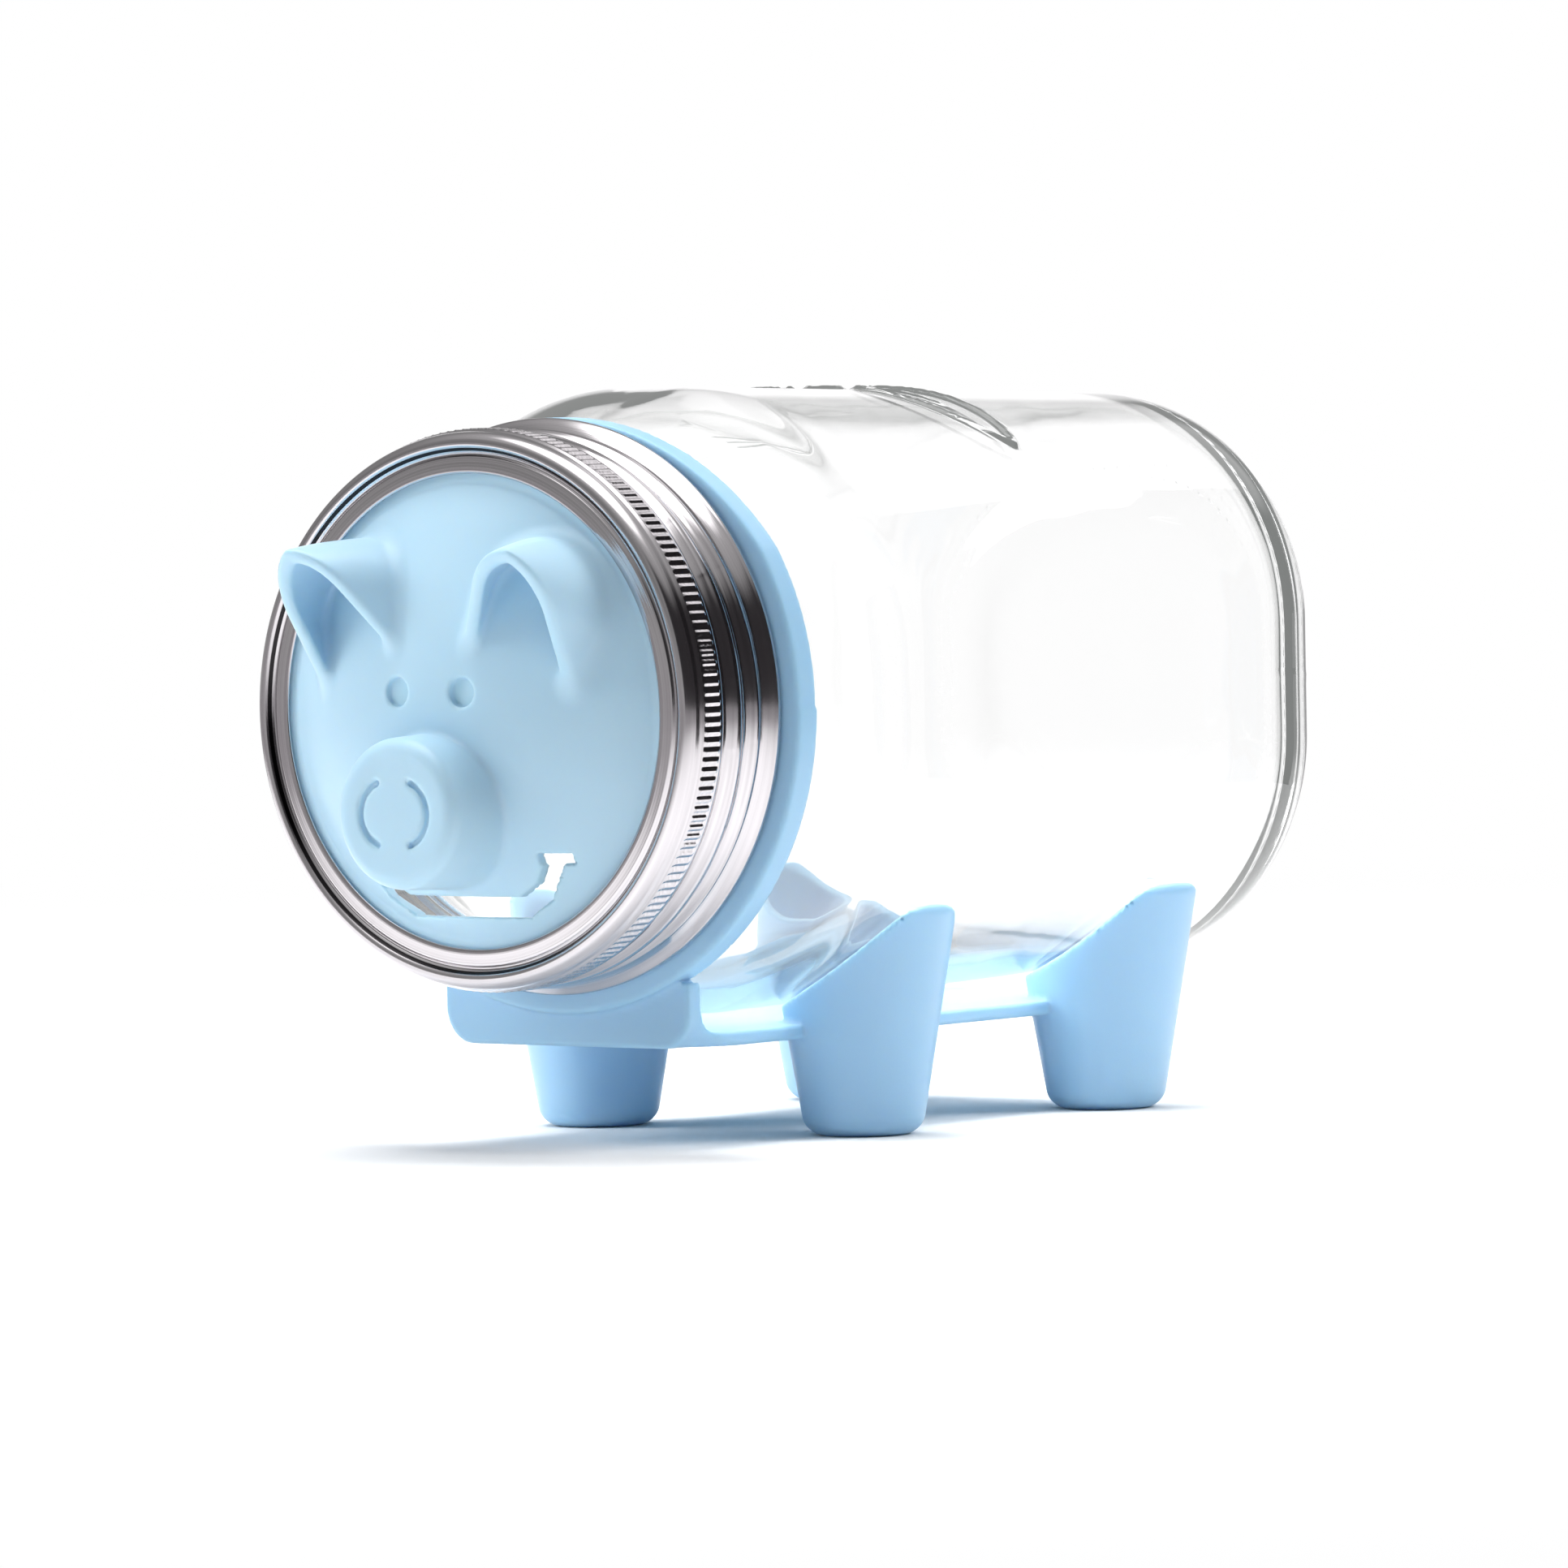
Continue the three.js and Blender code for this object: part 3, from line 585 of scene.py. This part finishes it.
def polygonise(shape, low, high, cell):
    """Points and quads of the surface where shape is zero, with one point per mixed cell."""
    low, high = np.array(low, float), np.array(high, float)
    counts = np.ceil((high - low) / cell).astype(int) + 2
    block = 10
    blocks = -(-counts // block)
    starts = np.stack(np.meshgrid(*[np.arange(b) * block for b in blocks], indexing="ij"), -1)
    starts = starts.reshape(-1, 3)
    centre = low + cell * (starts + (block - 1) / 2)
    depth = shape(*centre.T)
    near = abs(depth) < cell * block * 1.25
    padded = blocks * block
    field = np.empty(padded, np.float32)
    inner = np.stack(np.meshgrid(*[np.arange(block)] * 3, indexing="ij"), -1).reshape(-1, 3)
    for start, value in zip(starts[~near], depth[~near], strict=True):
        field[tuple(slice(s, s + block) for s in start)] = value
    for part in np.array_split(starts[near], max(1, near.sum() // 400)):
        index = part[:, None, :] + inner[None]
        spots = low + cell * index
        field[index[..., 0], index[..., 1], index[..., 2]] = shape(
            spots[..., 0], spots[..., 1], spots[..., 2])
    within = field < 0
    corners = [(i, j, k) for i in (0, 1) for j in (0, 1) for k in (0, 1)]
    last = padded - 1
    total = sum(within[i:last[0] + i, j:last[1] + j, k:last[2] + k].astype(np.int8)
                for i, j, k in corners)
    mixed = (total > 0) & (total < 8)
    cells = np.argwhere(mixed)
    number = np.full(mixed.shape, -1, np.int32)
    number[mixed] = np.arange(len(cells))
    place, crossings = np.zeros((len(cells), 3)), np.zeros((len(cells), 1))
    for a in corners:
        for axis in range(3):
            if a[axis]:
                continue
            b = tuple(1 if n == axis else v for n, v in enumerate(a))
            fa = field[tuple((cells + a).T)].astype(float)
            fb = field[tuple((cells + b).T)].astype(float)
            crossed = (fa < 0) != (fb < 0)
            share = np.where(crossed, fa / np.where(crossed, fa - fb, 1), 0)[:, None]
            spot = np.array(a) + share * np.subtract(b, a)
            place += spot * crossed[:, None]
            crossings += crossed[:, None]
    points = low + cell * (cells + place / crossings)
    faces = []
    for axis in range(3):
        side_a, side_b = (axis + 1) % 3, (axis + 2) % 3
        here = within[tuple(slice(0, -1) if n == axis else slice(1, -1) for n in range(3))]
        there = within[tuple(slice(1, None) if n == axis else slice(1, -1) for n in range(3))]
        edges = np.argwhere(here != there)
        leaving = here[tuple(edges.T)]
        edges[:, side_a] += 1
        edges[:, side_b] += 1
        step_a, step_b = np.eye(3, dtype=int)[side_a], np.eye(3, dtype=int)[side_b]
        quad = np.stack([number[tuple((edges - da * step_a - db * step_b).T)]
                         for da, db in ((1, 1), (0, 1), (0, 0), (1, 0))], -1)
        faces.append(np.where(leaving[:, None], quad, quad[:, ::-1]))
    return settle(shape, points, cell), np.concatenate(faces)


def settle(shape, points, cell):
    """Moves points onto the surface along its slope, by half a cell at most each time."""
    step = 0.01
    for _ in range(3):
        value = shape(*points.T)
        slope = np.stack([(shape(*(points + offset).T) - value) / step
                          for offset in np.eye(3) * step], -1)
        move = slope * (value / np.maximum((slope ** 2).sum(1), 0.05))[:, None]
        length = np.linalg.norm(move, axis=1, keepdims=True)
        points = points - move * np.minimum(1, 0.5 * cell / np.maximum(length, 1e-9))
    return points


lid_low, lid_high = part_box("pig_face_lid")
flange_radius, flange_front, flange_back = lid_high.x / MM, 1.4, 3.0
dome_edge, dome_rise = 36.6, 11.9
dome_radius = (dome_edge ** 2 + dome_rise ** 2) / (2 * dome_rise)
dome_centre = flange_front - dome_rise + dome_radius
snout_face, snout_drop = (lid_low.y - band_low.y) / MM, 15.5
snout_radius, snout_bore, snout_length = 12, 9.4, 18.5
ear_across, ear_up, ear_radius, ear_length = 16.8, 14.5, 13.4, 18.5
ear_wall, ear_slant = 2.5, math.radians(30)
eye_across, eye_up, eye_radius, eye_depth = 6.5, 3.4, 2.35, 1.1
nostril_across, nostril_radius, nostril_spread = 1.5, 5.2, math.radians(70)
smile_bars = (((-12.2, -31), (12.2, -31), 1.7), ((11.2, -31.1), (16.1, -28.1), 1.55),
              ((15.3, -29), (19.3, -22.9), 1.4), ((16.4, -23), (22, -23), 0.8))


def lid_shape(x, y, z):
    """Distance out of the moulding, below zero in the plastic. Its two halves mirror."""
    out = np.sqrt(x * x + z * z)
    ball = np.sqrt(x * x + (y - dome_centre) ** 2 + z * z)
    mirrored = abs(x)
    dome = np.maximum(ball - dome_radius, y - flange_back)
    flange = both(both(out - flange_radius, y - flange_back, 0.3), flange_front - y, 0.3)
    solid = joined(dome, flange, 0.4)

    forward = (-0.5 - y) / ear_length
    from_x, from_z = mirrored - ear_across - 3.8 * forward, z - ear_up - 4.9 * forward
    horn_radius = np.maximum(ear_radius - 8 * forward, 1)
    point = horn_radius * 0.5 * ((1 + 0.28 * np.clip(forward, 0, 1)) ** 2 - 1)
    along_ear, across_ear = 0.3 * from_x + 0.954 * from_z, 0.954 * from_x - 0.3 * from_z
    horn = (np.sqrt(np.maximum(along_ear, 0) ** 2 + (abs(across_ear) + point) ** 2)
            - point - horn_radius)
    kept = -((y + 9.4) * math.cos(ear_slant) + (z - 11) * math.sin(ear_slant))
    ear = both(cut(horn * 0.84, (horn + ear_wall) * 0.84, 0.3), kept, 0.85)
    solid = joined(solid, np.maximum(ear, y - 1), 1.7)

    from_snout = np.sqrt(x * x + (z + snout_drop) ** 2)
    taper = snout_radius + 0.8 * (y - snout_face) / snout_length
    snout = np.maximum(both(from_snout - taper, snout_face - y, 2.4), y - 1)
    solid = joined(solid, snout, 0.9)

    hollow = both(ball - dome_radius + 2, out - dome_edge + 2.2, 0.5)
    snout_hollow = both(from_snout - snout_bore, snout_face + 2.6 - y, 0.6)
    solid = cut(solid, joined(hollow, snout_hollow, 0.4), 0.3)

    smile = np.minimum.reduce([flat_bar(mirrored, z, *bar) for bar in smile_bars])
    solid = cut(solid, smile, 0.25)

    eye_skin = dome_centre - math.sqrt(dome_radius ** 2 - eye_across ** 2 - eye_up ** 2)
    from_eye = np.sqrt((mirrored - eye_across) ** 2 + (z - eye_up) ** 2)
    eye = np.maximum(from_eye - eye_radius, y - (eye_skin + eye_depth))
    solid = cut(solid, eye, 0.3)

    beside, above = mirrored - nostril_across, z + snout_drop
    bend = np.clip(np.arctan2(above, beside), -nostril_spread, nostril_spread)
    groove = np.sqrt((beside - nostril_radius * np.cos(bend)) ** 2
                     + (above - nostril_radius * np.sin(bend)) ** 2) - 0.5
    return cut(solid, np.maximum(groove, y - snout_face - 1), 0.15)


def moulded_skin():
    """Group: the faint clouding and fine spark-eroded grain that a moulded surface has."""
    group = bpy.data.node_groups.new("moulded_skin", "ShaderNodeTree")
    for name, kind, way in (("Colour", "NodeSocketColor", "INPUT"),
                            ("Deep Colour", "NodeSocketColor", "INPUT"),
                            ("Grain Scale", "NodeSocketFloat", "INPUT"),
                            ("Gloss Low", "NodeSocketFloat", "INPUT"),
                            ("Gloss High", "NodeSocketFloat", "INPUT"),
                            ("Colour", "NodeSocketColor", "OUTPUT"),
                            ("Roughness", "NodeSocketFloat", "OUTPUT"),
                            ("Height", "NodeSocketFloat", "OUTPUT")):
        group.interface.new_socket(name, in_out=way, socket_type=kind)
    given = add_node(group, "TexCoord", {}).outputs["Object"]
    asked = group.nodes.new("NodeGroupInput").outputs
    cloud = add_node(group, "TexNoise", {"Vector": given, "Scale": 38, "Detail": 4,
                                         "Roughness": 0.6})
    share = add_node(group, "MapRange", {"Value": cloud.outputs["Fac"], "From Min": 0.35,
                                         "From Max": 0.75})
    colour = add_node(group, "Mix", {"Factor": share.outputs["Result"], 6: asked[0],
                                     7: asked[1]}, data_type="RGBA")
    grain = add_node(group, "TexNoise", {"Vector": given, "Scale": asked["Grain Scale"],
                                         "Detail": 2})
    gloss = add_node(group, "MapRange", {"Value": cloud.outputs["Fac"], "From Min": 0.3,
                                         "From Max": 0.7, "To Min": asked["Gloss Low"],
                                         "To Max": asked["Gloss High"]})
    result = group.nodes.new("NodeGroupOutput")
    for socket, value in (("Colour", colour.outputs[2]), ("Roughness", gloss.outputs["Result"]),
                          ("Height", grain.outputs["Fac"])):
        group.links.new(value, result.inputs[socket])
    return group


skin_group = moulded_skin()


def moulded_plastic(name, colour, deep, gloss):
    """Satin moulded plastic that lets a little light in, with the mould's grain."""
    material = new_material(name)
    tree = material.node_tree
    skin = add_node(tree, "Group", {}, node_tree=skin_group)
    for socket, value in (("Colour", colour), ("Deep Colour", deep), ("Grain Scale", 2200),
                          ("Gloss Low", gloss[0]), ("Gloss High", gloss[1])):
        skin.inputs[socket].default_value = value
    grain = add_node(tree, "Bump", {"Height": skin.outputs["Height"], "Strength": 0.3,
                                    "Distance": 0.00003})
    plastic = add_node(tree, "BsdfPrincipled", {
        "Base Color": skin.outputs["Colour"], "Roughness": skin.outputs["Roughness"],
        "Subsurface Weight": 0.35, "Subsurface Radius": (0.5, 0.8, 1.0),
        "Subsurface Scale": 0.0025, "IOR": 1.49, "Normal": grain.outputs["Normal"]})
    add_node(tree, "OutputMaterial", {"Surface": plastic.outputs[0]})
    return material


lid_cell = 0.48
lid_plastic = moulded_plastic("lid_plastic", (0.49, 0.705, 0.845, 1), (0.47, 0.69, 0.835, 1),
                              (0.28, 0.36))
lid_points, lid_faces = polygonise(
    lid_shape, (-flange_radius - 1, snout_face - 1, -flange_radius - 1),
    (flange_radius + 1, flange_back + 1, flange_radius + 1), lid_cell)
lid = mesh_piece("pig_face", lid_points, [lid_faces], lid_plastic)
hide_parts("pig_face_lid")
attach(lid, "lid")

# ---- Stand ---------------------------------------------------------------------------
# One moulding in a slightly stronger blue: a ring, thinner on top, that the band traps
# against the jar's shoulder, a wall and a flat plate under the belly, and four hollow
# conical legs cut to cradle the glass.

stand_low, stand_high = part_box("stand")
ring_front = (stand_low.y - band_low.y) / MM
ring_back = ring_front + 4.8
ring_radius = stand_high.x / MM
ring_bore = ring_radius - 5.3
outline_drop, outline_over_bore = 6.4, 8.6  # 2.2 mm of wall at the top
floor = -origin[2] / MM
plate_under, plate_top = floor + 16, floor + 18.5
plate_end = (stand_high.y - band_low.y) / MM
plate_half_width = 25
leg_across, leg_places, leg_height = 27.4, (66.2, 133.6), 38
foot_radius, leg_draft = 9.5, math.radians(9.6)
leg_wall, foot_floor = 2.2, 2.5
glass_gap = 0.4


def stand_shape(x, y, z):
    """Distance out of the moulding, below zero in the plastic. Its two halves mirror."""
    out = np.sqrt(x * x + z * z)
    mirrored = abs(x)
    radius = ring_radius - 0.28 * smooth(z, -0.15, 0.15)
    thinned = np.sqrt(x * x + (z + outline_drop) ** 2) - ring_bore - outline_over_bore
    ring = both(both(np.maximum(out - radius, thinned), ring_bore - out, 0.5),
                both(y - ring_back, ring_front - y), 0.55)

    wall_front = ring_front + 1.5
    over_plate = both(ring_back - y, plate_top - z, 5)
    side_view = cut(both(plate_under - z, wall_front - y, 0.7), over_plate, 0.6)
    corner = 6 - 5.3 * smooth(y, ring_back, ring_back + 9)
    front_view = both(mirrored - plate_half_width, plate_under - z, corner)
    bed = both(both(side_view, front_view, 0.6), y - plate_end, 0.7)
    bed = cut(np.maximum(bed, z + ring_bore), out - ring_bore, 0.4)
    solid = np.minimum(ring, bed)

    height = z - floor
    from_leg = np.minimum(*[np.sqrt((mirrored - leg_across) ** 2 + (y - place) ** 2)
                            for place in leg_places])
    cone = (from_leg - foot_radius - height * math.tan(leg_draft)) * math.cos(leg_draft)
    leg = both(both(cone, -height, 3), height - leg_height, 2)
    solid = joined(solid, leg, 0.7)
    hollow = both(cone + leg_wall, foot_floor - height, 1)
    solid = cut(solid, hollow, 0.3)

    glass = body_half_width(y) * square_stretch(np.arctan2(x, z), flat_share(y))
    room = np.maximum(out - glass - glass_gap, shoulder_start - y)
    return cut(solid, room, 0.55)


stand_cell = 0.66
stand_plastic = moulded_plastic("stand_plastic", (0.37, 0.62, 0.835, 1),
                                (0.355, 0.605, 0.825, 1), (0.30, 0.40))
stand_points, stand_faces = polygonise(
    stand_shape, (-ring_radius - 1, ring_front - 1, floor - 1),
    (ring_radius + 1, plate_end + 1, ring_radius + 1), stand_cell)
stand = mesh_piece("stand_moulding", stand_points, [stand_faces], stand_plastic)
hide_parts("stand")
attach(stand, "root")
